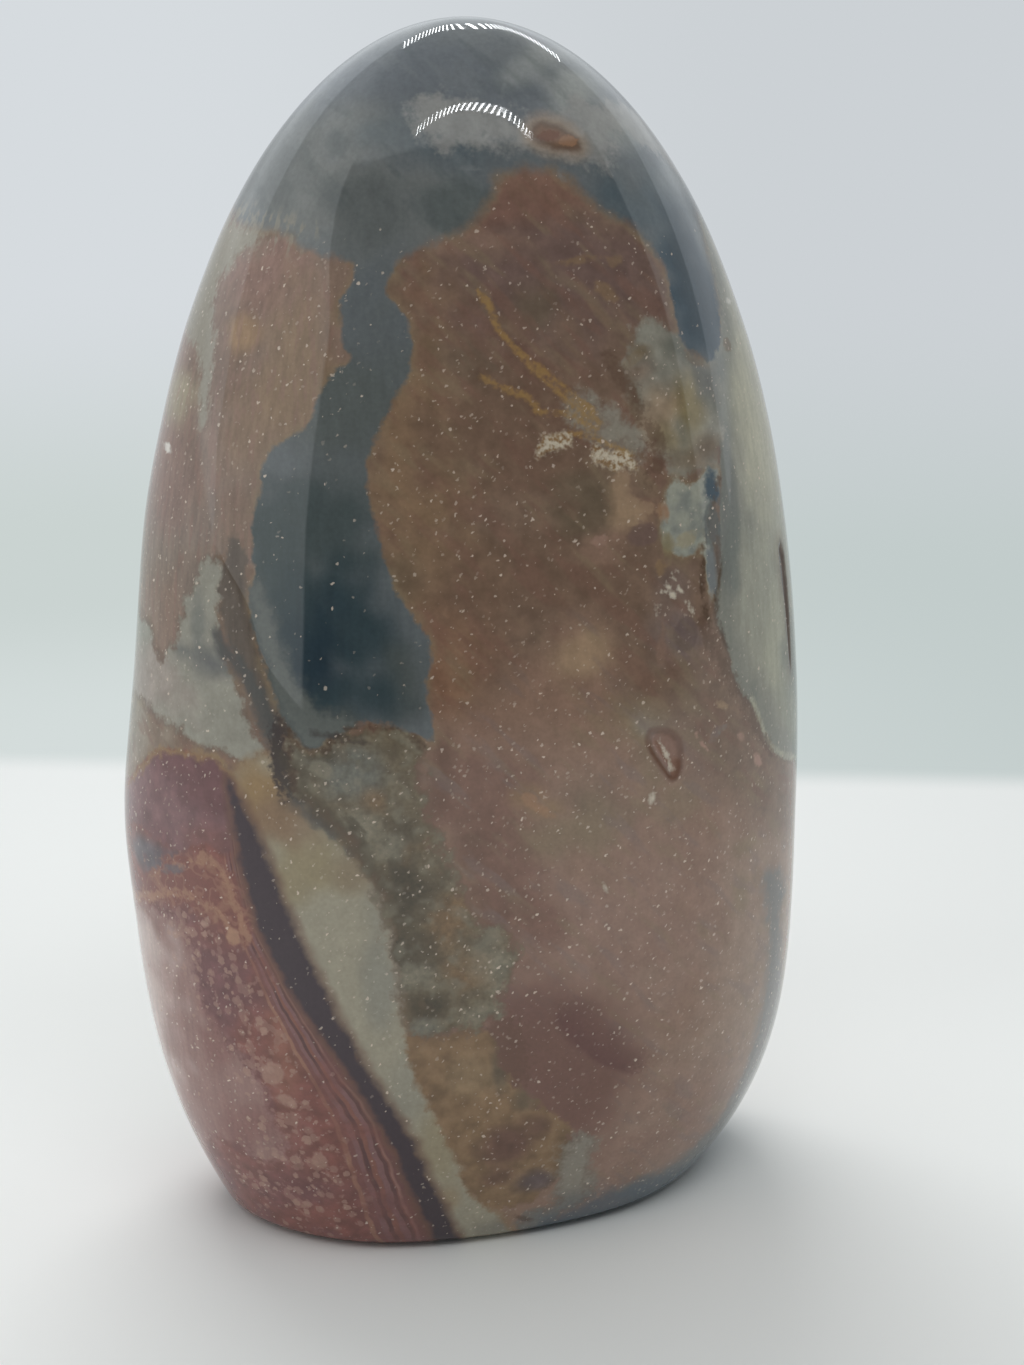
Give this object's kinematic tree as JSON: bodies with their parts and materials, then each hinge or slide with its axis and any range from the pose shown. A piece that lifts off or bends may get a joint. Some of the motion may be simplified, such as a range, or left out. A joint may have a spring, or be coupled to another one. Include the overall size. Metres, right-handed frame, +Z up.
{
  "type": "polished jasper freeform",
  "caption": "Tall egg-shaped freeform of polychrome jasper, polished all over, with a flat sawn foot that it stands on.",
  "frame": {"origin": "middle of the stone's outer box at the level of its flat foot", "axes": "+Z up along the height from the foot to the apex, +X across the width to the stone's right, and the broad front face looks along -Y through the thin way of the stone"},
  "size_m": [0.0764, 0.0458, 0.13],
  "materials": {
    "polychrome_jasper": "polished"
  },
  "bodies": {
    "root": {"stone": "polychrome_jasper"}
  },
  "joints": []
}
